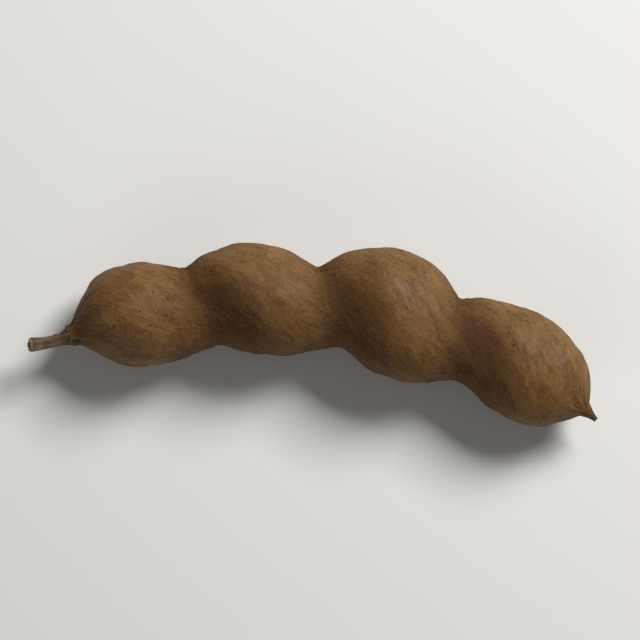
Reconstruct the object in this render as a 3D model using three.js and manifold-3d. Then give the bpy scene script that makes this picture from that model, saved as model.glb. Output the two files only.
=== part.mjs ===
// A tamarind pod, as picked: one curved, brittle shell, swollen over its seeds and pinched
// between them, with a short stub of stalk at one end and a small beak at the other.
// It lies on its flatter side, as a loose pod does on a table.
//
// Millimetres, +Z up. The origin is the middle of the pod's box, on the surface it lies on.
// +X runs from the stalk towards the beak, and +Y towards the outer, convex edge.

import * as THREE from "three";
import { mergeVertices } from "three/addons/utils/BufferGeometryUtils.js";
import Module from "manifold-3d";

// ---- Driving dimensions ---------------------------------------------------------------

// The pod's middle line, seen from above, from the stalk's scar to the tip of the beak.
const MIDDLE_LINE = new THREE.CubicBezierCurve3(
  new THREE.Vector3(-66, -16, 0),
  new THREE.Vector3(-28, 5, 0),
  new THREE.Vector3(26, 7, 0),
  new THREE.Vector3(64, -21, 0),
);
const LENGTH = MIDDLE_LINE.getLength();

// The swellings over the seeds, in order from the stalk. "at" is the place of the fullest
// section along the middle line. The pod is wider across its edges than it is deep.
const SWELLINGS = [
  { at: 18.5, halfLength: 17.4, halfWidth: 12.3, halfDepth: 10.3 },
  { at: 48.5, halfLength: 16.9, halfWidth: 13.3, halfDepth: 11.3 },
  { at: 81.6, halfLength: 17.5, halfWidth: 15.2, halfDepth: 11.5 },
  { at: 114.8, halfLength: 18.4, halfWidth: 12.4, halfDepth: 10.2 },
];
const SWELLING_POWER = 2.0; // 2 is an ellipse; more is a fuller shoulder
const BLEND_POWER = 5.5; // how sharply two swellings meet; less is a softer waist
const WAIST_LEAN = 3.4; // the sections lie aslant: the outer edge is this far behind the middle
const LEAN_FADE = 34; // the slant dies out this far from either end
const END_TAPER = 12; // the first and last swellings are drawn in over this length

// What is left between swellings that hardly meet. The waists are deepest at the outer edge,
// and shallower over the faces and along the inner edge.
const OUTER_CORE_RADIUS = 7.6;
const INNER_CORE_RADIUS = 10.3;
const NECK_RADIUS = 2.5; // where the stalk joins
const NECK_LENGTH = 18; // the core narrows to the neck over this length
const NOSE_LENGTH = 26; // and to the beak over this one
const BEAK_LENGTH = 4.5;
const BEAK_ROOT_RADIUS = 2.2;
const BEAK_TIP_RADIUS = 0.6;
const BEAK_HOLLOW = 1.4; // 1 is a straight cone; more is a hollowed one

const SUTURE_HEIGHT = 0.45; // the two seams where a pod would split, along its edges
const SUTURE_WIDTH = 0.16; // in radians round the section
const SMOOTH_ENDS = 12; // the seams and lumps die out this far from either end
const PUCKER_FOLDS = 7; // the folds that gather the shell in to the stalk
const PUCKER_DEPTH = 0.09; // as a share of the radius
const PUCKER_REACH = 8;
const LUMP_HEIGHT = 0.34; // the slow unevenness of a dry shell
// Each wave of the lumps: turns per mm along and round the section (in radians), phase, share.
const LUMP_WAVES = [
  { along: 0.21, round: 2, phase: 0.6, share: 1 },
  { along: 0.37, round: -3, phase: 2.1, share: 0.7 },
  { along: 0.55, round: 1, phase: Math.PI / 2, share: 0.5 },
];
const REST_CUT = 0.22; // how much the lowest points are flattened where the pod lies
const REST_REACH = 0.8; // how far a swelling sets the pod's height, as a share of its half length

const STALK_LENGTH = 9.5;
const STALK_GAP = 0.3; // the stalk stands this far clear of the shell's scar
const STALK_COLLAR_RADIUS = 2.35;
const STALK_RADIUS = 1.45;
const STALK_END_RADIUS = 1.75;
const STALK_RIBS = 5;
const STALK_RIB_HEIGHT = 0.12;
const STALK_COLLAR_END = 0.3; // where the collar has run out, as a share of the stalk
const STALK_FLARE_START = 0.6; // and where the broken end starts to widen
const STALK_RISE = 2.2; // the free end stands this much higher than the scar
const STALK_SWAY = 1.6; // and bends this far towards the outer edge

const POD_STATIONS = 116;
const POD_SIDES = 48;
const STALK_STATIONS = 14;
const STALK_SIDES = 20;

const SHELL_COLOUR = "#866547";
const STALK_COLOUR = "#5b4837";

// ---- Small helpers --------------------------------------------------------------------

const { smoothstep, lerp } = THREE.MathUtils;
const wasm = await Module();
wasm.setup();

// Joins closed rings of points, in order, into one closed surface that faces outwards.
// ringPoint(share, angle) gives a point for a share from 0 to 1 and an angle in radians.
function loft(stations, sides, ringPoint) {
  const positions = [];
  const ringCentre = (station) => {
    const centre = new THREE.Vector3();
    for (let side = 0; side < sides; side += 1) {
      centre.add(ringPoint(station / stations, (2 * Math.PI * side) / sides));
    }
    return centre.divideScalar(sides);
  };
  for (let station = 0; station <= stations; station += 1) {
    for (let side = 0; side < sides; side += 1) {
      const angle = (2 * Math.PI * side) / sides;
      positions.push(...ringPoint(station / stations, angle).toArray());
    }
  }
  const startCentre = positions.length / 3;
  positions.push(...ringCentre(0).toArray(), ...ringCentre(stations).toArray());
  const endCentre = startCentre + 1;

  const index = [];
  for (let side = 0; side < sides; side += 1) {
    const next = (side + 1) % sides;
    for (let station = 0; station < stations; station += 1) {
      const here = station * sides;
      const ahead = here + sides;
      index.push(here + side, here + next, ahead + next);
      index.push(here + side, ahead + next, ahead + side);
    }
    const last = stations * sides;
    index.push(startCentre, next, side);
    index.push(endCentre, last + side, last + next);
  }
  const geometry = new THREE.BufferGeometry();
  geometry.setAttribute("position", new THREE.Float32BufferAttribute(positions, 3));
  geometry.setIndex(index);
  return geometry;
}

// A closed three.js geometry as a solid that can be cut.
function solidOf(geometry) {
  const bare = geometry.clone();
  bare.deleteAttribute("normal");
  bare.deleteAttribute("uv");
  const merged = mergeVertices(bare);
  return new wasm.Manifold(
    new wasm.Mesh({
      numProp: 3,
      vertProperties: new Float32Array(merged.attributes.position.array),
      triVerts: new Uint32Array(merged.index.array),
    }),
  );
}

function geometryOf(solid) {
  const mesh = solid.getMesh();
  const geometry = new THREE.BufferGeometry();
  geometry.setAttribute("position", new THREE.BufferAttribute(mesh.vertProperties, 3));
  geometry.setIndex(new THREE.BufferAttribute(mesh.triVerts, 1));
  geometry.computeVertexNormals();
  return geometry;
}

// ---- The shell ------------------------------------------------------------------------

// How full one swelling is at a place along the pod, from 0 at its ends to 1.
function fullness(swelling, along) {
  const share = Math.abs(along - swelling.at) / swelling.halfLength;
  if (share >= 1) return 0;
  const drawnIn = smoothstep(Math.min(along, LENGTH - along), -END_TAPER, END_TAPER);
  return drawnIn * (1 - share ** SWELLING_POWER) ** (1 / SWELLING_POWER);
}

// The slim core that carries the shell through the neck, the waists and the beak. "across" is
// 1 at the outer edge and -1 at the inner one.
function coreRadius(along, across) {
  const fromTip = LENGTH - along;
  const waist = lerp(INNER_CORE_RADIUS, OUTER_CORE_RADIUS, smoothstep(across, -1, 1));
  const neck = lerp(NECK_RADIUS, waist, smoothstep(along, 0, NECK_LENGTH));
  const rise = Math.min(1, fromTip / BEAK_LENGTH) ** BEAK_HOLLOW;
  const beak = lerp(BEAK_TIP_RADIUS, BEAK_ROOT_RADIUS, rise);
  return lerp(beak, neck, smoothstep(fromTip, BEAK_LENGTH, NOSE_LENGTH));
}

// The core and the swellings run into each other with a soft waist between them.
function blended(along, across, size) {
  const sum = SWELLINGS.reduce(
    (total, swelling) => total + (swelling[size] * fullness(swelling, along)) ** BLEND_POWER,
    coreRadius(along, across) ** BLEND_POWER,
  );
  return sum ** (1 / BLEND_POWER);
}

// The middle line's height above the table: each swelling comes down to the same level.
function restHeight(along) {
  let weights = 0;
  let heights = 0;
  for (const swelling of SWELLINGS) {
    const reach = REST_REACH * swelling.halfLength;
    const weight = Math.exp(-(((along - swelling.at) / reach) ** 2));
    weights += weight;
    heights += weight * blended(swelling.at, 0, "halfDepth");
  }
  return heights / weights;
}

// Raised from the smooth shell, in mm: the two sutures and the slow lumps of the dry skin.
function relief(along, angle) {
  const inward = smoothstep(along, 0, SMOOTH_ENDS) * smoothstep(LENGTH - along, 0, SMOOTH_ENDS);
  const outer = Math.exp(-((Math.sin(angle / 2) * 2) ** 2) / SUTURE_WIDTH ** 2);
  const inner = Math.exp(-((Math.cos(angle / 2) * 2) ** 2) / SUTURE_WIDTH ** 2);
  let lumps = 0;
  let shares = 0;
  for (const wave of LUMP_WAVES) {
    lumps += wave.share * Math.sin(wave.along * along + wave.round * angle + wave.phase);
    shares += wave.share;
  }
  return inward * (SUTURE_HEIGHT * (outer + inner) + (LUMP_HEIGHT * lumps) / shares);
}

function shellPoint(share, angle) {
  const along = share * LENGTH;
  const folds =
    PUCKER_DEPTH * Math.cos(PUCKER_FOLDS * angle) * smoothstep(PUCKER_REACH - along, 0, PUCKER_REACH);
  const raised = relief(along, angle);
  const across = Math.cos(angle);
  const width = blended(along, across, "halfWidth") * (1 + folds) + raised;
  const depth = blended(along, across, "halfDepth") * (1 + folds) + raised;

  const lean = smoothstep(Math.min(along, LENGTH - along), 0, LEAN_FADE);
  const shift = lean * WAIST_LEAN * across;
  const place = THREE.MathUtils.clamp((along - shift) / LENGTH, 0, 1);
  const tangent = MIDDLE_LINE.getTangentAt(place);
  const outward = new THREE.Vector3(-tangent.y, tangent.x, 0);
  return MIDDLE_LINE.getPointAt(place)
    .addScaledVector(outward, width * across)
    .setZ(restHeight(along) + depth * Math.sin(angle));
}

// The swellings' lowest points are cut level, where the pod's weight beds them down.
function makeShell() {
  const rounded = solidOf(loft(POD_STATIONS, POD_SIDES, shellPoint));
  const table = new THREE.BoxGeometry(3 * LENGTH, 3 * LENGTH, LENGTH);
  table.translate(0, 0, REST_CUT - LENGTH / 2);
  return geometryOf(rounded.subtract(solidOf(table)));
}

// ---- The stalk ------------------------------------------------------------------------

const SCAR = MIDDLE_LINE.getPointAt(0).setZ(restHeight(0));
const SCAR_TANGENT = MIDDLE_LINE.getTangentAt(0);
const SCAR_OUTWARD = new THREE.Vector3(-SCAR_TANGENT.y, SCAR_TANGENT.x, 0);

// It leaves the scar squarely, then lifts and sways a little towards its broken end.
const STALK_LINE = new THREE.QuadraticBezierCurve3(
  SCAR.clone().addScaledVector(SCAR_TANGENT, -STALK_GAP),
  SCAR.clone().addScaledVector(SCAR_TANGENT, -STALK_LENGTH / 2),
  SCAR.clone()
    .addScaledVector(SCAR_TANGENT, -STALK_LENGTH)
    .addScaledVector(SCAR_OUTWARD, STALK_SWAY)
    .add(new THREE.Vector3(0, 0, STALK_RISE)),
);

function stalkPoint(share, angle) {
  const tangent = STALK_LINE.getTangentAt(share);
  const side = new THREE.Vector3(tangent.y, -tangent.x, 0).normalize();
  const up = new THREE.Vector3().crossVectors(tangent, side);
  const collar = lerp(STALK_COLLAR_RADIUS, STALK_RADIUS, smoothstep(share, 0, STALK_COLLAR_END));
  const radius =
    collar +
    (STALK_END_RADIUS - STALK_RADIUS) * smoothstep(share, STALK_FLARE_START, 1) +
    STALK_RIB_HEIGHT * Math.cos(STALK_RIBS * angle) * smoothstep(share, 0, STALK_COLLAR_END);
  return STALK_LINE.getPointAt(share)
    .addScaledVector(side, radius * Math.cos(angle))
    .addScaledVector(up, radius * Math.sin(angle));
}

// ---- The finished part ----------------------------------------------------------------

function piece(name, geometry, color, roughness) {
  const material = new THREE.MeshStandardMaterial({ color, roughness, metalness: 0 });
  const mesh = new THREE.Mesh(geometry, material);
  mesh.name = name;
  return mesh;
}

const tamarind = new THREE.Group();
tamarind.add(piece("pod", makeShell(), SHELL_COLOUR, 0.82));
tamarind.add(piece("stalk", loft(STALK_STATIONS, STALK_SIDES, stalkPoint), STALK_COLOUR, 0.9));

// The group is set down with the middle of its box on the origin and its foot at z = 0.
const box = new THREE.Box3().setFromObject(tamarind);
const middle = box.getCenter(new THREE.Vector3());
tamarind.position.set(-middle.x, -middle.y, -box.min.z);

export default tamarind;
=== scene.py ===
"""A tamarind pod, as picked: a curved, brittle brown shell with a short stub of stalk.

The shell and the stalk stand for the CAD nodes of the same names and keep their form. Lengths in
the shape formulas are in millimetres, as the CAD gives them, and meshes are in metres.
"""

import math
from typing import NamedTuple

import bmesh
import bpy
import numpy as np
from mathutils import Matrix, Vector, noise


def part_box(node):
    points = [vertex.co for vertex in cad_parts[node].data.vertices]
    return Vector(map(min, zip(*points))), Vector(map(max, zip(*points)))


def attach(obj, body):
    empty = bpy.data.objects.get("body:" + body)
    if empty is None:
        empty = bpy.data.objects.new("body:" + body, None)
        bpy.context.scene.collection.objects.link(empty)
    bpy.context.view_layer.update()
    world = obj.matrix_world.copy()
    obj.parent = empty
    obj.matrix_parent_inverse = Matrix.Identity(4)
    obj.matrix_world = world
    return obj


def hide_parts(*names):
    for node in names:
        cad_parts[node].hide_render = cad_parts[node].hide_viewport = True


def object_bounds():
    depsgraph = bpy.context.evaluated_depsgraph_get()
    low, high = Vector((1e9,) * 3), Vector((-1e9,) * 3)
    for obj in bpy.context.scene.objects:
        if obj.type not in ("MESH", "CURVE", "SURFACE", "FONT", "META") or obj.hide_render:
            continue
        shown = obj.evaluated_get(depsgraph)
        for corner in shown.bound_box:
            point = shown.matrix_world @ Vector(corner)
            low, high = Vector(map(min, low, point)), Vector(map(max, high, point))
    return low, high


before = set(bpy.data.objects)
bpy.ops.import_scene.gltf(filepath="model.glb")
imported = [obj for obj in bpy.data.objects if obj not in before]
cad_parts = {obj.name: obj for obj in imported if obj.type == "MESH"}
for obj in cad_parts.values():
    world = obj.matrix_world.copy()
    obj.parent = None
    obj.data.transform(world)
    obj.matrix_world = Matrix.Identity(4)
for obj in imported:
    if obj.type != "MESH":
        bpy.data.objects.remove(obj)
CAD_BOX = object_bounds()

bl_info = {
    "name": "Tamarind Pod",
    "version": (1, 0, 0),
    "blender": (4, 5, 0),
    "location": "3D View > Sidebar > Tamarind",
    "description": "Builds a whole tamarind pod, its stalk and a plain stage",
    "category": "Object",
}

MM = 0.001


# ---- The pod's form, as the CAD has it, in millimetres ---------------------------------------


class Swelling(NamedTuple):
    """One swelling over a seed: its place along the middle line, and half its sizes."""

    at: float
    half_length: float
    half_width: float
    half_depth: float


class LumpWave(NamedTuple):
    """One wave of the slow lumps: radians per mm along, turns round, phase and share."""

    along: float
    turns: int
    phase: float
    share: float


# The middle line from the stalk's scar to the tip of the beak, seen from above.
MIDDLE_LINE = ((-66.0, -16.0), (-28.0, 5.0), (26.0, 7.0), (64.0, -21.0))
SWELLINGS = (
    Swelling(18.5, 17.4, 12.3, 10.3),
    Swelling(48.5, 16.9, 13.3, 11.3),
    Swelling(81.6, 17.5, 15.2, 11.5),
    Swelling(114.8, 18.4, 12.4, 10.2),
)
BLEND_POWER = 5.5  # how sharply two swellings meet; less is a softer waist
WAIST_LEAN = 3.4  # the sections lie aslant: the outer edge is this far behind the middle
LEAN_FADE = 34.0  # the slant dies out this far from either end
END_TAPER = 12.0  # the first and last swellings are drawn in over this length
OUTER_CORE_RADIUS = 7.6  # what is left between swellings, at the outer edge
INNER_CORE_RADIUS = 10.3  # and at the inner one
NECK_RADIUS = 2.5
NECK_LENGTH = 18.0
NOSE_LENGTH = 26.0
BEAK_LENGTH = 4.5
BEAK_ROOT_RADIUS = 2.2
BEAK_TIP_RADIUS = 0.6
BEAK_HOLLOW = 1.4  # 1 is a straight cone; more is a hollowed one
PUCKER_FOLDS = 7  # the folds that gather the shell in to the stalk
PUCKER_DEPTH = 0.09  # as a share of the radius
PUCKER_REACH = 8.0
LUMP_HEIGHT = 0.34
LUMP_WAVES = (
    LumpWave(0.21, 2, 0.6, 1.0),
    LumpWave(0.37, -3, 2.1, 0.7),
    LumpWave(0.55, 1, math.pi / 2, 0.5),
)
SMOOTH_ENDS = 12.0  # the lumps die out this far from either end
REST_CUT = 0.22  # how much the lowest points are flattened where the pod lies
REST_REACH = 0.8  # how far a swelling sets the pod's height, as a share of its half length


def linear(hex_colour):
    """An sRGB hex colour as linear red, green, blue and alpha."""
    parts = [int(hex_colour[i : i + 2], 16) / 255 for i in (1, 3, 5)]
    low = [c / 12.92 if c <= 0.04045 else ((c + 0.055) / 1.055) ** 2.4 for c in parts]
    return (*low, 1.0)


def smoothstep(value, low, high):
    """0 below low, 1 above high, and a smooth rise between."""
    t = np.clip((value - low) / (high - low), 0.0, 1.0)
    return t * t * (3.0 - 2.0 * t)


def mixed(low, high, share):
    return low + (high - low) * share


def bump(distance, reach):
    """1 at no distance, fading smoothly over the reach."""
    return np.exp(-((distance / reach) ** 2))


def bezier_table(points, samples=2000):
    """Arc length, place and unit tangent along a Bezier curve, as arrays."""
    t = np.linspace(0.0, 1.0, samples)[:, None]
    ends = np.array(points, float)
    degree = len(points) - 1
    weights = [math.comb(degree, k) * t**k * (1 - t) ** (degree - k) for k in range(degree + 1)]
    place = sum(w * p for w, p in zip(weights, ends))
    steps = np.linalg.norm(np.diff(place, axis=0), axis=1)
    arc = np.concatenate(([0.0], np.cumsum(steps)))
    tangent = np.gradient(place, arc, axis=0)
    return arc, place, tangent / np.linalg.norm(tangent, axis=1)[:, None]


def read_table(table, arc):
    """The place and tangent of a curve at each arc length."""
    lengths, places, tangents = table
    columns = range(places.shape[1])
    at = np.stack([np.interp(arc, lengths, places[:, c]) for c in columns], axis=-1)
    way = np.stack([np.interp(arc, lengths, tangents[:, c]) for c in columns], axis=-1)
    return at, way


LINE_TABLE = bezier_table(MIDDLE_LINE)
LENGTH = float(LINE_TABLE[0][-1])


def fullness(swelling, along):
    """How full one swelling is, from 0 at its ends to 1."""
    share = np.clip(np.abs(along - swelling.at) / swelling.half_length, 0.0, 1.0)
    drawn_in = smoothstep(np.minimum(along, LENGTH - along), -END_TAPER, END_TAPER)
    return drawn_in * np.sqrt(1.0 - share**2)


def core_radius(along, across):
    """The slim core through the neck, the waists and the beak.

    across is 1 at the outer edge and -1 at the inner one.
    """
    from_tip = LENGTH - along
    waist = mixed(INNER_CORE_RADIUS, OUTER_CORE_RADIUS, smoothstep(across, -1.0, 1.0))
    neck = mixed(NECK_RADIUS, waist, smoothstep(along, 0.0, NECK_LENGTH))
    rise = np.clip(from_tip / BEAK_LENGTH, 0.0, 1.0) ** BEAK_HOLLOW
    beak = mixed(BEAK_TIP_RADIUS, BEAK_ROOT_RADIUS, rise)
    return mixed(beak, neck, smoothstep(from_tip, BEAK_LENGTH, NOSE_LENGTH))


def blended(along, across, size):
    """The core and the swellings' half_width or half_depth, run into each other."""
    total = core_radius(along, across) ** BLEND_POWER
    for swelling in SWELLINGS:
        total = total + (getattr(swelling, size) * fullness(swelling, along)) ** BLEND_POWER
    return total ** (1.0 / BLEND_POWER)


def rest_height(along):
    """The middle line's height above the table: each swelling comes down to the same level."""
    weights = [bump(along - s.at, REST_REACH * s.half_length) for s in SWELLINGS]
    heights = [blended(s.at, 0.0, "half_depth") for s in SWELLINGS]
    return sum(w * h for w, h in zip(weights, heights)) / sum(weights)


def slow_lumps(along, angle):
    """The slow unevenness of a dry shell, in mm."""
    waves = sum(w.share * np.sin(w.along * along + w.turns * angle + w.phase) for w in LUMP_WAVES)
    ends = smoothstep(along, 0.0, SMOOTH_ENDS) * smoothstep(LENGTH - along, 0.0, SMOOTH_ENDS)
    return ends * LUMP_HEIGHT * waves / sum(wave.share for wave in LUMP_WAVES)


def smooth_shell(along, angle):
    """The shell's points without its fine relief, before the group is centred."""
    across = np.cos(angle)
    gather = smoothstep(PUCKER_REACH - along, 0.0, PUCKER_REACH)
    folds = PUCKER_DEPTH * np.cos(PUCKER_FOLDS * angle) * gather
    raised = slow_lumps(along, angle)
    width = blended(along, across, "half_width") * (1 + folds) + raised
    depth = blended(along, across, "half_depth") * (1 + folds) + raised
    lean = smoothstep(np.minimum(along, LENGTH - along), 0.0, LEAN_FADE)
    shift = lean * WAIST_LEAN * across
    place, tangent = read_table(LINE_TABLE, np.clip(along - shift, 0.0, LENGTH))
    x = place[..., 0] - tangent[..., 1] * width * across
    y = place[..., 1] + tangent[..., 0] * width * across
    z = rest_height(along) + depth * np.sin(angle)
    return np.stack([x, y, z], axis=-1)


# ---- Meshes ----------------------------------------------------------------------------------


def tube(sides, stations, cap_rings):
    """A closed tube of unit radius from z = 0 to z = 1, with its ends in rings round a point."""
    mesh = bmesh.new()
    bmesh.ops.create_cone(
        mesh, cap_ends=True, cap_tris=False, segments=sides, radius1=1.0, radius2=1.0, depth=1.0
    )
    bmesh.ops.translate(mesh, verts=mesh.verts, vec=(0.0, 0.0, 0.5))
    caps = [face for face in mesh.faces if len(face.verts) == sides]
    for _ in range(cap_rings):
        bmesh.ops.inset_individual(mesh, faces=caps, thickness=1.0 / (cap_rings + 1))
    bmesh.ops.poke(mesh, faces=caps)
    long_edges = [
        edge for edge in mesh.edges if abs(edge.verts[0].co.z - edge.verts[1].co.z) > 0.5
    ]
    bmesh.ops.subdivide_edges(mesh, edges=long_edges, cuts=stations - 1, use_grid_fill=True)
    for face in mesh.faces:
        face.smooth = True
    return mesh


def unrolled(unit):
    """Each point of a unit tube, as its share of the length, its angle and its radius."""
    return unit[:, 2], np.arctan2(unit[:, 1], unit[:, 0]), np.hypot(unit[:, 0], unit[:, 1])


def finish_piece(name, mesh, place):
    """Turns a bmesh tube into an object whose vertices stand where place puts them."""
    data = bpy.data.meshes.new(name)
    mesh.to_mesh(data)
    mesh.free()
    piece = bpy.data.objects.new(name, data)
    bpy.context.scene.collection.objects.link(piece)
    unit = read_points(piece)
    write_points(piece, place(unit) * MM)
    return piece, unit


def read_points(piece):
    points = np.empty(len(piece.data.vertices) * 3, np.float32)
    piece.data.vertices.foreach_get("co", points)
    return points.reshape(-1, 3).astype(float)


def write_points(piece, points):
    piece.data.vertices.foreach_set("co", points.astype(np.float32).ravel())
    piece.data.update()


def read_normals(piece):
    normals = np.empty(len(piece.data.vertices) * 3, np.float32)
    piece.data.vertex_normals.foreach_get("vector", normals)
    return normals.reshape(-1, 3).astype(float)


def push_out(piece, height):
    """Moves each vertex out along its normal, by a height in millimetres."""
    write_points(piece, read_points(piece) + read_normals(piece) * (height * MM)[:, None])


def keep_attribute(piece, name, values):
    """Stores a number or a vector at each vertex, for the material to read."""
    kind, field = ("FLOAT_VECTOR", "vector") if values.ndim == 2 else ("FLOAT", "value")
    layer = piece.data.attributes.new(name, kind, "POINT")
    layer.data.foreach_set(field, values.astype(np.float32).ravel())


SEED_STEP = 17.3  # how far apart two seeds read the same noise
OCTAVE_FADE = 1.0  # each octave is half as high as the one before
OCTAVE_STEP = 2.0  # and half as wide


class Roughness(NamedTuple):
    """One kind of unevenness: how wide its largest bumps are in mm, its octaves and its seed."""

    size: float
    octaves: int
    seed: int


def roughness_at(points, kind):
    """Smooth noise from about -1 to 1 at each point, which is in mm."""
    places = (points / kind.size + kind.seed * SEED_STEP).tolist()
    return np.array(
        [noise.fractal(place, OCTAVE_FADE, OCTAVE_STEP, kind.octaves) for place in places]
    )


# ---- The shell -------------------------------------------------------------------------------

GRAIN_RADIUS = 12.0  # mm, the straightened shell that the grain is drawn on
GRAIN_SLANT = math.radians(36)  # the fibres under the skin wind round the pod at this angle
WAISTS = [
    0.5 * (one.at + one.half_length + after.at - after.half_length)
    for one, after in zip(SWELLINGS, SWELLINGS[1:])
]

# The skin's own relief, in mm. Pits and fibres are drawn out along the grain.
NECK_CALM = (1.0, 12.0)  # from the scar: where the relief begins, and where it is whole
BEAK_CALM = (1.0, 10.0)  # the same, from the beak's tip
END_SHARE = 0.3  # how much of the pits and fibres is left at both ends
DIMPLES = Roughness(8.0, 3, 1)
PITS = Roughness(2.6, 3, 7)
PIT_GRAIN = (1.0, 1.0, 0.6)
FIBRES = Roughness(1.5, 3, 2)
FIBRE_GRAIN = (1.0, 1.0, 0.3)
WOBBLE = Roughness(9.0, 2, 3)  # what keeps the wrinkles and the pleats from being even
WRINKLE_SPACING = 1.6
WRINKLE_WANDER = 1.6
WRINKLE_REACH = 3.5
SEAM_WIDTH = 0.15  # radians round the section
SEAM_GROOVE_WIDTH = 0.035
SEAM_GROOVE = 0.55  # as a share of the seam's height
PLEATS = 13
FINE_PLEATS = 22
NECK_PLEATS = (2.0, 14.0)  # from the scar: where the pleats start to fade, and where they end
BEAK_PLEATS = (2.0, 11.0)  # the same, from the beak's tip
BEAK_BARE = (0.5, 6.0)  # from the tip: where the pleats begin, and where they are whole
NECK_DARK = 9.0  # how far the darker skin reaches from the scar
BEAK_DARK = 7.0  # and from the beak's tip

# The painted shade at each waist, in mm past it: in its crease, and in a sweep that lies
# further past it and reaches further the nearer it comes to the inner side.
CREASE_AT = 0.3
CREASE_REACH = 2.6
CREASE_DARK = 0.2
SWEEP_AT = 1.0
SWEEP_INNER_SHIFT = 9.0
SWEEP_REACH = 5.0
SWEEP_INNER_REACH = 8.0
SWEEP_INNER_LIMIT = 0.6  # the share of the way to the inner edge where the sweep stops growing
SWEEP_OUTER_DARK = 0.32  # how dark the sweep is at the outer edge
SWEEP_FACE_DARK = 0.53  # how much darker it is over the faces
SWEEP_FACE = (0.08, 0.42)  # where it darkens, as shares of the way to the inner edge
SWEEP_INNER_FADE = 0.38  # and how much lighter again at the inner edge
SWEEP_INNER = (0.6, 0.95)  # where it lightens

# Lenticels are crowded in loose drifts, on the shoulder before each waist, and in its notch.
# The sides run from -1 at the inner edge to 1 at the outer one.
DRIFTS = Roughness(7.0, 2, 4)
DRIFT_EDGE = (0.2, 0.5)  # the noise at which a drift begins, and at which it is whole
SHOULDER_BEFORE = 5.0
SHOULDER_REACH = 8.0
SHOULDER_SIDE = (-0.3, 0.7)
SHOULDER_CROWD = 0.55
NOTCH_PAST = 1.5
NOTCH_REACH = 3.5
NOTCH_SIDE = (0.1, 0.8)
NOTCH_CROWD = 0.5


def grain_place(along, angle):
    """The shell straightened and untwisted, so that its winding fibres run along Z, in mm."""
    twist = along * math.tan(GRAIN_SLANT) / GRAIN_RADIUS
    turned = angle - twist
    ring = [GRAIN_RADIUS * np.cos(turned), GRAIN_RADIUS * np.sin(turned)]
    return np.stack([*ring, along / math.cos(GRAIN_SLANT)], axis=-1)


def waist_mask(along, reach):
    """1 in the bottom of each waist, fading over a reach in mm."""
    return sum(bump(along - waist, reach) for waist in WAISTS)


def seam_mask(angle, reach):
    """1 on the pod's outer and inner edges, fading over a reach in radians."""
    return bump(2 * np.sin(angle / 2), reach) + bump(2 * np.cos(angle / 2), reach)


def painted_waist_shade(along, angle):
    """Painted shade round each waist: mostly past it, and most of all over the faces."""
    inward = 0.5 - 0.5 * np.cos(angle)
    inner = np.minimum(inward, SWEEP_INNER_LIMIT)
    crease = waist_mask(along - CREASE_AT, CREASE_REACH)
    sweep = waist_mask(
        along - SWEEP_AT - SWEEP_INNER_SHIFT * inner, SWEEP_REACH + SWEEP_INNER_REACH * inner
    )
    strength = (
        SWEEP_OUTER_DARK
        + SWEEP_FACE_DARK * smoothstep(inner, *SWEEP_FACE)
        - SWEEP_INNER_FADE * smoothstep(inward, *SWEEP_INNER)
    )
    return CREASE_DARK * crease + strength * sweep


def darkened_tips(along):
    """How dark the skin is at the scar and at the beak's tip."""
    at_neck = smoothstep(NECK_DARK - along, 0.0, NECK_DARK)
    return at_neck + smoothstep(BEAK_DARK - (LENGTH - along), 0.0, BEAK_DARK)


def lenticel_crowd(along, angle, grain):
    """How crowded the lenticels are, from 0 to 1."""
    across = np.cos(angle)
    shoulder = waist_mask(along + SHOULDER_BEFORE, SHOULDER_REACH)
    shoulder = shoulder * smoothstep(across, *SHOULDER_SIDE)
    notch = waist_mask(along - NOTCH_PAST, NOTCH_REACH) * smoothstep(across, *NOTCH_SIDE)
    crowd = roughness_at(grain, DRIFTS) + SHOULDER_CROWD * shoulder + NOTCH_CROWD * notch
    return smoothstep(crowd, *DRIFT_EDGE)


def pleat_mask(along):
    """1 where the shell is gathered in to the stalk and to the beak, and 0 between them."""
    from_tip = LENGTH - along
    at_neck = 1.0 - smoothstep(along, *NECK_PLEATS)
    at_beak = (1.0 - smoothstep(from_tip, *BEAK_PLEATS)) * smoothstep(from_tip, *BEAK_BARE)
    return at_neck + at_beak


def shell_relief(along, angle, grain, settings):
    """The height of the dry skin's own relief at each place, in mm."""
    full = smoothstep(along, *NECK_CALM) * smoothstep(LENGTH - along, *BEAK_CALM)
    thinned = mixed(END_SHARE, 1.0, full)
    dimples = roughness_at(grain, DIMPLES)
    pits = roughness_at(grain * PIT_GRAIN, PITS)
    fibres = roughness_at(grain * FIBRE_GRAIN, FIBRES)
    wobble = roughness_at(grain, WOBBLE)
    wrinkles = np.cos(2 * math.pi * (along + WRINKLE_WANDER * wobble) / WRINKLE_SPACING)
    outward = 0.5 + 0.5 * np.cos(angle)
    pinched = waist_mask(along, WRINKLE_REACH) * outward * (0.75 + 0.5 * wobble)
    ridge = seam_mask(angle, SEAM_WIDTH) * (0.8 + 0.3 * dimples)
    groove = SEAM_GROOVE * seam_mask(angle, SEAM_GROOVE_WIDTH)
    folds = np.cos(PLEATS * angle + 2.0 * wobble)
    fine_folds = 0.5 * np.cos(FINE_PLEATS * angle + 1.1 + dimples)
    return (
        settings.dimple_height / MM * full * dimples
        + settings.pit_height / MM * thinned * pits
        + settings.fibre_height / MM * thinned * fibres
        + settings.wrinkle_height / MM * pinched * wrinkles
        + settings.seam_height / MM * full * (ridge - groove)
        + settings.pleat_height / MM * pleat_mask(along) * (folds + fine_folds)
    )


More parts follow.
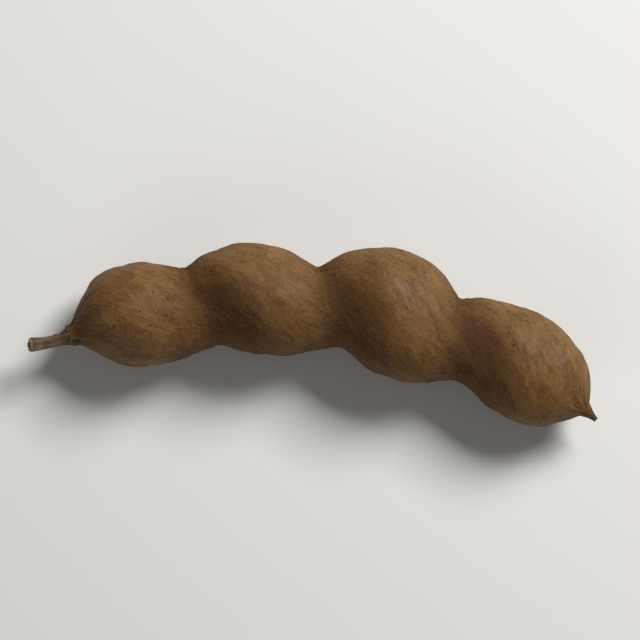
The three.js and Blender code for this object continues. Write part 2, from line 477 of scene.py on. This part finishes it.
class ShellSettings(bpy.types.PropertyGroup):
    """The sizes and colours of the pod's shell."""

    sides: bpy.props.IntProperty(
        name="Sides", description="Faces round the shell", default=208, min=24, max=400
    )
    stations: bpy.props.IntProperty(
        name="Stations", description="Rings of faces along the shell", default=456, min=40, max=900
    )
    dimple_height: bpy.props.FloatProperty(
        name="Dimples",
        description="Height of the slow dimples in the dry skin",
        default=0.22 * MM,
        unit="LENGTH",
        precision=5,
    )
    pit_height: bpy.props.FloatProperty(
        name="Pits",
        description="Height of the small pits and bumps between the fibres",
        default=0.075 * MM,
        unit="LENGTH",
        precision=5,
    )
    fibre_height: bpy.props.FloatProperty(
        name="Fibres",
        description="Height of the winding fibres that show through the skin",
        default=0.02 * MM,
        unit="LENGTH",
        precision=5,
    )
    wrinkle_height: bpy.props.FloatProperty(
        name="Wrinkles",
        description="Height of the folds across each waist",
        default=0.09 * MM,
        unit="LENGTH",
        precision=5,
    )
    seam_height: bpy.props.FloatProperty(
        name="Seams",
        description="Height of the two seams along the edges",
        default=0.42 * MM,
        unit="LENGTH",
        precision=5,
    )
    pleat_height: bpy.props.FloatProperty(
        name="Pleats",
        description="Height of the pleats that gather the shell to its two ends",
        default=0.1 * MM,
        unit="LENGTH",
        precision=5,
    )
    body_colour: bpy.props.FloatVectorProperty(
        name="Body",
        description="The shell's main brown",
        default=linear("#664822"),
        size=4,
        subtype="COLOR",
    )
    pale_colour: bpy.props.FloatVectorProperty(
        name="Pale scurf",
        description="The dusty bloom on the fullest parts",
        default=linear("#85623b"),
        size=4,
        subtype="COLOR",
    )
    red_colour: bpy.props.FloatVectorProperty(
        name="Reddish patches",
        description="Where the bloom is thin and the skin is redder",
        default=linear("#58341a"),
        size=4,
        subtype="COLOR",
    )
    olive_colour: bpy.props.FloatVectorProperty(
        name="Olive patches",
        description="Where the skin stayed greener",
        default=linear("#624a20"),
        size=4,
        subtype="COLOR",
    )
    # In the waists this dark colour is painted shade; elsewhere it is the skin's own dark brown.
    dark_skin_and_shade_colour: bpy.props.FloatVectorProperty(
        name="Hollows",
        description="The darker skin in the waists",
        default=linear("#2e1908"),
        size=4,
        subtype="COLOR",
    )
    speck_colour: bpy.props.FloatVectorProperty(
        name="Specks",
        description="The small dark lenticels",
        default=linear("#35150c"),
        size=4,
        subtype="COLOR",
    )


def put(tree, kind, feeds, out=0, **settings):
    """Adds a node with its settings. Each feed is a socket to link or a value to set."""
    node = tree.nodes.new(kind)
    for name, value in settings.items():
        setattr(node, name, value)
    for name, feed in feeds.items():
        socket = next(s for s in node.inputs if name in (s.identifier, s.name))
        if isinstance(feed, bpy.types.NodeSocket):
            tree.links.new(feed, socket)
        else:
            socket.default_value = feed
    return node.outputs[out] if node.outputs else None


def new_material(name):
    material = bpy.data.materials.new(name)
    material.use_nodes = True
    material.node_tree.nodes.clear()
    return material, material.node_tree


def per_mm(size):
    """A texture's scale, for cells that are size millimetres across in a space in metres."""
    return 1.0 / (size * MM)


def noise_masks(tree, patterns):
    """Each pattern of noise as a mask from 0 to 1, under its name.

    A pattern is what it reads, its size in mm, its detail, and the noise that is 0 and 1.
    """
    masks = {}
    for name, (vector, size, detail, low, high) in patterns.items():
        raw = put(
            tree,
            "ShaderNodeTexNoise",
            {"Vector": vector, "Scale": per_mm(size), "Detail": detail},
        )
        masks[name] = put(
            tree,
            "ShaderNodeMapRange",
            {"Value": raw, "From Min": low, "From Max": high},
            interpolation_type="SMOOTHSTEP",
        )
    return masks


def dot_mask(tree, vector, spacing, full, gone):
    """Scattered dots, 1 within full and 0 beyond gone, both as shares of the spacing in mm."""
    away = put(
        tree, "ShaderNodeTexVoronoi", {"Vector": vector, "Scale": per_mm(spacing)}, "Distance"
    )
    return put(
        tree,
        "ShaderNodeMapRange",
        {"Value": away, "From Min": full, "From Max": gone, "To Min": 1.0, "To Max": 0.0},
        interpolation_type="SMOOTHSTEP",
    )


def painted(tree, ground, coats):
    """The ground colour under coats of paint: where each lies, how strong it is, its colour."""
    colour = tuple(ground)
    for where, strength, paint in coats:
        share = put(
            tree,
            "ShaderNodeMath",
            {"Value": where, "Value_001": strength},
            operation="MULTIPLY",
        )
        colour = put(
            tree,
            "ShaderNodeMix",
            {"Factor_Float": share, "A_Color": colour, "B_Color": tuple(paint)},
            2,
            data_type="RGBA",
        )
    return colour


SPECK_SPACING = 1.7  # mm
SPECK_RAGGEDNESS = 0.8  # mm, the size of the noise that makes the specks uneven
SPECK_NUDGE = 0.7 * MM  # and how far it moves them
SPECK_EDGE = (0.1, 0.24)  # a speck is whole within the first, as shares of the spacing


def uneven_specks(tree, place, crowd):
    """Lenticels: small uneven dots, crowded in some places and missing in others."""
    ragged = put(
        tree, "ShaderNodeTexNoise", {"Vector": place, "Scale": per_mm(SPECK_RAGGEDNESS)}, "Color"
    )
    nudged = put(
        tree,
        "ShaderNodeVectorMath",
        {"Vector": ragged, "Vector_001": (SPECK_NUDGE,) * 3, "Vector_002": place},
        operation="MULTIPLY_ADD",
    )
    dots = dot_mask(tree, nudged, SPECK_SPACING, *SPECK_EDGE)
    return put(
        tree,
        "ShaderNodeMath",
        {"Value": dots, "Value_001": crowd},
        operation="MULTIPLY",
    )


STREAK_GRAIN = 0.4  # how much of the grain's length is left for the streaks: less is longer
MOTTLE_GRAIN = 0.6  # and for the mottle


def dry_pod_shell(settings):
    """The brittle woody rind of a ripe pod: a matte, scurfy bloom over red-brown skin.

    The bloom scatters light widely, so the gloss is broad and weak. It is kept off the painted
    shade in and past each waist, and the seams carry a darker line of their own.
    """
    material, tree = new_material("dry_pod_shell")
    place = put(tree, "ShaderNodeTexCoord", {}, "Object")
    grain = put(tree, "ShaderNodeAttribute", {}, "Vector", attribute_name="grain")
    # The waist attribute is the painted shade round each waist.
    waist, edge, tips, crowd = (
        put(tree, "ShaderNodeAttribute", {}, "Fac", attribute_name=name)
        for name in ("waist", "edge", "tips", "crowd")
    )

    # Where the grain's length is drawn in, what is read there is drawn out along it.
    streaked, stroked = (
        put(
            tree,
            "ShaderNodeVectorMath",
            {"Vector": grain, "Vector_001": (1.0, 1.0, share)},
            operation="MULTIPLY",
        )
        for share in (STREAK_GRAIN, MOTTLE_GRAIN)
    )

    # The bloom's real dust is finer than this grit, which is drawn as coarse as it needs to show.
    patterns = {
        "red": (place, 19.0, 3.0, 0.46, 0.66),
        "olive": (place, 27.0, 3.0, 0.5, 0.68),
        "bloom": (place, 8.5, 4.0, 0.36, 0.66),
        "mottle": (stroked, 2.6, 4.0, 0.42, 0.7),
        "streaks": (streaked, 0.62, 3.0, 0.44, 0.7),
        "pale_streaks": (streaked, 0.8, 3.0, 0.5, 0.74),
        "scurf": (place, 0.6, 4.0, 0.4, 0.66),
        "freckles": (place, 1.2, 3.0, 0.48, 0.72),
        "grit": (place, 0.3, 2.0, 0.46, 0.64),
    }
    shown = noise_masks(tree, patterns)
    specks = uneven_specks(tree, place, crowd)

    # The bloom is kept off the painted shade at the waists, so that the shade stays dark.
    full = put(
        tree,
        "ShaderNodeMapRange",
        {"Value": waist, "From Min": 0.0, "From Max": 0.6, "To Min": 1.0, "To Max": 0.0},
    )
    dusty = put(
        tree,
        "ShaderNodeMath",
        {"Value": shown["bloom"], "Value_001": full},
        operation="MULTIPLY",
    )
    rough = put(
        tree,
        "ShaderNodeMapRange",
        {"Value": waist, "From Min": 0.0, "From Max": 0.5, "To Min": 0.52, "To Max": 0.8},
    )
    coats = (
        (shown["red"], 0.75, settings.red_colour),
        (shown["olive"], 0.7, settings.olive_colour),
        (dusty, 0.65, settings.pale_colour),
        (shown["mottle"], 0.5, settings.dark_skin_and_shade_colour),
        (shown["freckles"], 0.42, settings.dark_skin_and_shade_colour),
        (shown["streaks"], 0.26, settings.dark_skin_and_shade_colour),
        (shown["pale_streaks"], 0.3, settings.pale_colour),
        (shown["scurf"], 0.36, settings.pale_colour),
        (shown["grit"], 0.24, settings.pale_colour),
        # Painted shade in and past each waist.
        (waist, 0.8, settings.dark_skin_and_shade_colour),
        (edge, 0.3, settings.dark_skin_and_shade_colour),
        (tips, 0.5, settings.dark_skin_and_shade_colour),
        (specks, 0.7, settings.speck_colour),
    )

    # Each relief's height is in mm, and those below 0 are sunk.
    reliefs = (
        (shown["scurf"], 0.022),
        (shown["grit"], 0.012),
        (shown["streaks"], -0.022),
        (specks, -0.04),
    )
    normal = None
    for mask, height in reliefs:
        feeds = {"Height": mask, "Distance": abs(height) * MM, "Strength": 1.0}
        if normal:
            feeds["Normal"] = normal
        normal = put(tree, "ShaderNodeBump", feeds, invert=height < 0)
    shader = put(
        tree,
        "ShaderNodeBsdfPrincipled",
        {
            "Base Color": painted(tree, settings.body_colour, coats),
            "Roughness": rough,
            "Normal": normal,
            "IOR": 1.45,
            "Specular IOR Level": 0.17,
        },
    )
    put(tree, "ShaderNodeOutputMaterial", {"Surface": shader})
    return material


SHELL_CAP_RINGS = 3
SEAM_LINE_WIDTH = 0.09  # radians, the darker line along each seam


class TAMARIND_OT_shell(bpy.types.Operator):
    """Builds the pod's shell over its CAD solid."""

    bl_idname = "tamarind.shell"
    bl_label = "Shell"

    def execute(self, context):
        settings = context.scene.tamarind_shell

        def place(unit):
            share, angle, radius = unrolled(unit)
            along = share * LENGTH
            axis, _ = read_table(LINE_TABLE, along)
            core = np.column_stack([axis, rest_height(along)])
            return core + (smooth_shell(along, angle) - core) * np.minimum(1.0, radius)[:, None]

        mesh = tube(settings.sides, settings.stations, SHELL_CAP_RINGS)
        piece, unit = finish_piece("pod_shell", mesh, place)
        share, angle, _ = unrolled(unit)
        along = share * LENGTH
        grain = grain_place(along, angle)
        settle(piece)
        push_out(piece, shell_relief(along, angle, grain, settings))
        bed_down(piece)
        keep_attribute(piece, "grain", grain * MM)
        # Painted shade round each waist, which the material mixes into the dark colour.
        keep_attribute(piece, "waist", painted_waist_shade(along, angle))
        keep_attribute(piece, "edge", np.clip(seam_mask(angle, SEAM_LINE_WIDTH), 0.0, 1.0))
        keep_attribute(piece, "tips", darkened_tips(along))
        keep_attribute(piece, "crowd", lenticel_crowd(along, angle, grain))
        piece.data.materials.append(dry_pod_shell(settings))
        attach(piece, "root")
        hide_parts("pod")
        return {"FINISHED"}


def settle(piece):
    """Moves the smooth shell to where the CAD's shell stands in the frame."""
    points = read_points(piece)
    low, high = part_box("pod")
    shift = (np.array(low) + np.array(high) - points.min(axis=0) - points.max(axis=0)) / 2
    shift[2] = -REST_CUT * MM
    write_points(piece, points + shift)
    piece["offset"] = list(shift)


def follow(piece, leader):
    """Moves a piece as far as the leading piece was moved when it settled in the frame."""
    write_points(piece, read_points(piece) + np.array(bpy.data.objects[leader]["offset"]))


def bed_down(piece):
    """Presses the lowest points level with the table."""
    points = read_points(piece)
    points[:, 2] = np.maximum(points[:, 2], 0.0)
    write_points(piece, points)


# ---- The stalk, in millimetres -----------------------------------------------------------------

STALK_LENGTH = 9.5
STALK_SEAT = 0.5  # how deep the stalk's foot is sunk in the shell's scar
STALK_COLLAR_RADIUS = 2.35
STALK_RADIUS = 1.45
STALK_END_RADIUS = 1.75
STALK_RIBS = 5
STALK_RIB_HEIGHT = 0.12
STALK_COLLAR_END = 0.3  # where the collar has run out, as a share of the stalk
STALK_FLARE_START = 0.6  # and where the broken end starts to widen
STALK_RISE = 2.2  # the free end stands this much higher than the scar
STALK_SWAY = 1.6  # and bends this far towards the outer edge
KNUCKLE_HEIGHT = 0.16  # a low ring round the stalk
KNUCKLE_AT = 0.36
KNUCKLE_REACH = 0.05
RIM_DROP = 0.22  # how much the edge of the broken end is rounded off
RIM_START = 0.97
TORN_START = 0.985  # beyond this share of the stalk, there is no bark
TORN_FIBRES = Roughness(0.5, 3, 5)
PITH_DEPTH = 0.35  # the hollow in the middle of the broken end
PITH_REACH = 0.3  # as a share of its radius
BARK_RIDGES = Roughness(0.5, 3, 6)
BARK_GRAIN = (1.0, 1.0, 0.12)  # the bark's ridges are drawn out along the stalk
BARK_START = 0.1  # the bark's ridges are whole from this share of the stalk on
BARK_FURROW = 0.06 * MM  # how deep the furrows between the bark's fibres look
STALK_CAP_RINGS = 14
ON_SIDE = 0.99  # a point of a unit tube with this radius or more is on its side
ON_END = 0.999  # and one past this share of the length is on its far end


class StalkSettings(bpy.types.PropertyGroup):
    """The sizes and colours of the stalk."""

    sides: bpy.props.IntProperty(
        name="Sides", description="Faces round the stalk", default=96, min=16, max=200
    )
    stations: bpy.props.IntProperty(
        name="Stations", description="Rings of faces along the stalk", default=110, min=16, max=300
    )
    ridge_height: bpy.props.FloatProperty(
        name="Ridges",
        description="Height of the fine ridges along the bark",
        default=0.07 * MM,
        unit="LENGTH",
        precision=5,
    )
    break_height: bpy.props.FloatProperty(
        name="Broken end",
        description="How far the torn fibres stand out of the broken end",
        default=0.3 * MM,
        unit="LENGTH",
        precision=5,
    )
    bark_colour: bpy.props.FloatVectorProperty(
        name="Bark",
        description="The stalk's thin bark",
        default=linear("#54402f"),
        size=4,
        subtype="COLOR",
    )
    furrow_colour: bpy.props.FloatVectorProperty(
        name="Furrows",
        description="The dark furrows between the bark's ridges",
        default=linear("#271d16"),
        size=4,
        subtype="COLOR",
    )
    grit_colour: bpy.props.FloatVectorProperty(
        name="Grit",
        description="The fine dark grit on the bark and the torn wood",
        default=linear("#302419"),
        size=4,
        subtype="COLOR",
    )
    lenticel_colour: bpy.props.FloatVectorProperty(
        name="Lenticels",
        description="The pale spots and the weathered patches on the bark",
        default=linear("#8d7860"),
        size=4,
        subtype="COLOR",
    )
    wood_colour: bpy.props.FloatVectorProperty(
        name="Torn wood",
        description="The fibres at the broken end",
        default=linear("#a88c66"),
        size=4,
        subtype="COLOR",
    )


def stalk_table():
    """The stalk's middle line, from inside the scar to the broken end."""
    at, way = read_table(LINE_TABLE, np.array([0.0]))
    scar = np.array([*at[0], float(rest_height(0.0))])
    tangent = np.array([*way[0], 0.0])
    outward = np.array([-way[0][1], way[0][0], 0.0])
    return bezier_table(
        (
            scar + tangent * STALK_SEAT,
            scar - tangent * STALK_LENGTH / 2,
            scar - tangent * STALK_LENGTH + outward * STALK_SWAY + (0.0, 0.0, STALK_RISE),
        )
    )


def stalk_radius(share, angle):
    past_collar = smoothstep(share, 0.0, STALK_COLLAR_END)
    collar = mixed(STALK_COLLAR_RADIUS, STALK_RADIUS, past_collar)
    flare = (STALK_END_RADIUS - STALK_RADIUS) * smoothstep(share, STALK_FLARE_START, 1.0)
    ribs = STALK_RIB_HEIGHT * np.cos(STALK_RIBS * angle) * past_collar
    knuckle = KNUCKLE_HEIGHT * bump(share - KNUCKLE_AT, KNUCKLE_REACH)
    rim = -RIM_DROP * smoothstep(share, RIM_START, 1.0)
    return collar + flare + ribs + knuckle + rim


def broken_end(spread, inner, settings):
    """How far each point of the broken end stands out, in mm: torn fibres round a soft pith."""
    fibres = roughness_at(spread, TORN_FIBRES) + 0.5
    return settings.break_height / MM * fibres - PITH_DEPTH * bump(inner, PITH_REACH)


def woody_stalk(settings):
    """Thin dry bark over pale wood: matte, finely ridged along its length.

    The bark is duller than the shell, and the torn end shows pale fibres with no bark on them.
    """
    material, tree = new_material("woody_stalk")
    grain = put(tree, "ShaderNodeAttribute", {}, "Vector", attribute_name="grain")
    torn = put(tree, "ShaderNodeAttribute", {}, "Fac", attribute_name="torn")
    along_fibres = put(
        tree,
        "ShaderNodeVectorMath",
        {"Vector": grain, "Vector_001": BARK_GRAIN},
        operation="MULTIPLY",
    )
    patterns = {
        "fibres": (along_fibres, 0.45, 3.0, 0.4, 0.68),
        "weather": (grain, 2.4, 3.0, 0.42, 0.66),
        "grit": (grain, 0.3, 2.0, 0.42, 0.62),
    }
    shown = noise_masks(tree, patterns)
    lenticels = dot_mask(tree, grain, 1.3, 0.12, 0.2)
    coats = (
        (shown["weather"], 0.5, settings.lenticel_colour),
        (shown["fibres"], 0.45, settings.furrow_colour),
        (lenticels, 0.6, settings.lenticel_colour),
        (torn, 0.85, settings.wood_colour),
        (shown["grit"], 0.25, settings.grit_colour),
    )
    ridged = put(
        tree,
        "ShaderNodeBump",
        {"Height": shown["fibres"], "Distance": BARK_FURROW, "Strength": 1.0},
        invert=True,
    )
    shader = put(
        tree,
        "ShaderNodeBsdfPrincipled",
        {
            "Base Color": painted(tree, settings.bark_colour, coats),
            "Roughness": 0.82,
            "Normal": ridged,
            "IOR": 1.45,
        },
    )
    put(tree, "ShaderNodeOutputMaterial", {"Surface": shader})
    return material


class TAMARIND_OT_stalk(bpy.types.Operator):
    """Builds the short broken stalk at the shell's scar."""

    bl_idname = "tamarind.stalk"
    bl_label = "Stalk"

    def execute(self, context):
        settings = context.scene.tamarind_stalk
        table = stalk_table()
        length = float(table[0][-1])

        def place(unit):
            share, angle, radius = unrolled(unit)
            inner = np.minimum(1.0, radius)
            at, way = read_table(table, share * length)
            side = np.column_stack([way[:, 1], -way[:, 0], np.zeros(len(way))])
            side /= np.linalg.norm(side, axis=1)[:, None]
            up = np.cross(way, side)
            spread = side * np.cos(angle)[:, None] + up * np.sin(angle)[:, None]
            spread *= (stalk_radius(share, angle) * inner)[:, None]
            on_end = (share > ON_END) & (inner < ON_SIDE)
            torn = np.where(on_end, broken_end(spread, inner, settings), 0.0)
            return at + spread + way * torn[:, None]

        mesh = tube(settings.sides, settings.stations, STALK_CAP_RINGS)
        piece, unit = finish_piece("stalk_stub", mesh, place)
        share, angle, inner = unrolled(unit)
        ring = STALK_RADIUS * inner
        grain = np.column_stack([ring * np.cos(angle), ring * np.sin(angle), share * length])
        follow(piece, "pod_shell")
        bark = np.where(inner > ON_SIDE, smoothstep(share, 0.0, BARK_START), 0.0)
        ridges = roughness_at(grain * BARK_GRAIN, BARK_RIDGES)
        push_out(piece, settings.ridge_height / MM * ridges * bark)
        keep_attribute(piece, "grain", grain * MM)
        keep_attribute(piece, "torn", np.where(share > TORN_START, 1.0, 0.0))
        piece.data.materials.append(woody_stalk(settings))
        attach(piece, "root")
        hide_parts("stalk")
        return {"FINISHED"}


# ---- The stage, in metres ----------------------------------------------------------------------

# Each light: its name, its place, its size and its power. All are white and aim at the pod.
LIGHTS = (
    ("key_light", (0.44, 0.66, 0.68), 0.4, 14.2),
    ("fill_light", (-0.45, -0.9, 0.26), 0.9, 3.8),
    ("top_light", (0.1, 0.2, 1.1), 0.8, 0.2),
)
ROOM_COLOUR = "#f2f2f2"
ROOM_STRENGTH = 0.08
SENSOR_WIDTH = 36.0  # mm


class StageSettings(bpy.types.PropertyGroup):
    """The floor and the camera."""

    floor_size: bpy.props.FloatProperty(
        name="Floor", description="Length of the floor's side", default=3.0, unit="LENGTH"
    )
    floor_colour: bpy.props.FloatVectorProperty(
        name="Floor colour",
        description="The plain pale floor",
        default=linear("#e2e0dc"),
        size=4,
        subtype="COLOR",
    )
    camera_height: bpy.props.FloatProperty(
        name="Camera height", description="Height over the floor", default=0.9, unit="LENGTH"
    )
    view_width: bpy.props.FloatProperty(
        name="View width",
        description="How much of the floor the picture shows",
        default=0.158,
        unit="LENGTH",
    )
    camera_turn: bpy.props.FloatProperty(
        name="Camera turn",
        description="How far the camera is turned about its own axis",
        default=math.radians(6.8),
        unit="ROTATION",
    )


def matte_floor(settings):
    """Smooth matt paper: pale, with no pattern and almost no gloss."""
    material, tree = new_material("matte_floor")
    shader = put(
        tree,
        "ShaderNodeBsdfPrincipled",
        {
            "Base Color": tuple(settings.floor_colour),
            "Roughness": 0.9,
            "Specular IOR Level": 0.2,
        },
    )
    put(tree, "ShaderNodeOutputMaterial", {"Surface": shader})
    return material


def lay_floor(scene, settings):
    mesh = bmesh.new()
    bmesh.ops.create_grid(mesh, x_segments=1, y_segments=1, size=settings.floor_size / 2)
    data = bpy.data.meshes.new("floor")
    mesh.to_mesh(data)
    mesh.free()
    floor = bpy.data.objects.new("floor", data)
    scene.collection.objects.link(floor)
    data.materials.append(matte_floor(settings))


def hang_lights(scene):
    """Area lights round the pod, in a dim, even room."""
    for name, spot, size, power in LIGHTS:
        lamp = bpy.data.lights.new(name, "AREA")
        lamp.size, lamp.energy = size, power
        light = bpy.data.objects.new(name, lamp)
        light.location = spot
        aim = -light.location
        light.rotation_euler = aim.to_track_quat("-Z", "Y").to_euler()
        scene.collection.objects.link(light)

    world = bpy.data.worlds.new("soft_room")
    world.use_nodes = True
    back = world.node_tree.nodes["Background"]
    back.inputs["Color"].default_value = linear(ROOM_COLOUR)
    back.inputs["Strength"].default_value = ROOM_STRENGTH
    scene.world = world
    scene.view_settings.view_transform = "Standard"


def set_camera(scene, settings):
    """A camera that looks straight down on the middle of the pod."""
    low, high = CAD_BOX
    centre = (low + high) / 2
    lens = bpy.data.cameras.new("camera")
    lens.sensor_width = SENSOR_WIDTH
    lens.lens = SENSOR_WIDTH * settings.camera_height / settings.view_width
    camera = bpy.data.objects.new("camera", lens)
    camera.location = (centre.x, centre.y, settings.camera_height)
    camera.rotation_euler = (0.0, 0.0, settings.camera_turn)
    scene.collection.objects.link(camera)
    scene.camera = camera


class TAMARIND_OT_stage(bpy.types.Operator):
    """Lays the floor, hangs the lights and sets the camera straight above the pod."""

    bl_idname = "tamarind.stage"
    bl_label = "Stage"

    def execute(self, context):
        settings = context.scene.tamarind_stage
        lay_floor(context.scene, settings)
        hang_lights(context.scene)
        set_camera(context.scene, settings)
        return {"FINISHED"}


# ---- The add-on --------------------------------------------------------------------------------


class VIEW3D_PT_tamarind(bpy.types.Panel):
    """Lists the settings and the pieces in the sidebar."""

    bl_label = "Tamarind Pod"
    bl_space_type = "VIEW_3D"
    bl_region_type = "UI"
    bl_category = "Tamarind"

    def draw(self, context):
        for name, operator in GROUPS:
            settings = getattr(context.scene, name)
            box = self.layout.box()
            for prop in settings.__annotations__:
                box.prop(settings, prop)
            box.operator(operator)


GROUPS = (
    ("tamarind_shell", "tamarind.shell"),
    ("tamarind_stalk", "tamarind.stalk"),
    ("tamarind_stage", "tamarind.stage"),
)
CLASSES = (
    ShellSettings,
    StalkSettings,
    StageSettings,
    TAMARIND_OT_shell,
    TAMARIND_OT_stalk,
    TAMARIND_OT_stage,
    VIEW3D_PT_tamarind,
)


def register():
    for cls in CLASSES:
        bpy.utils.register_class(cls)
    for (name, _), cls in zip(GROUPS, CLASSES):
        setattr(bpy.types.Scene, name, bpy.props.PointerProperty(type=cls))


def unregister():
    for name, _ in GROUPS:
        delattr(bpy.types.Scene, name)
    for cls in reversed(CLASSES):
        bpy.utils.unregister_class(cls)


def main():
    register()
    bpy.ops.tamarind.shell()
    bpy.ops.tamarind.stalk()
    bpy.ops.tamarind.stage()


if __name__ == "__main__":
    main()
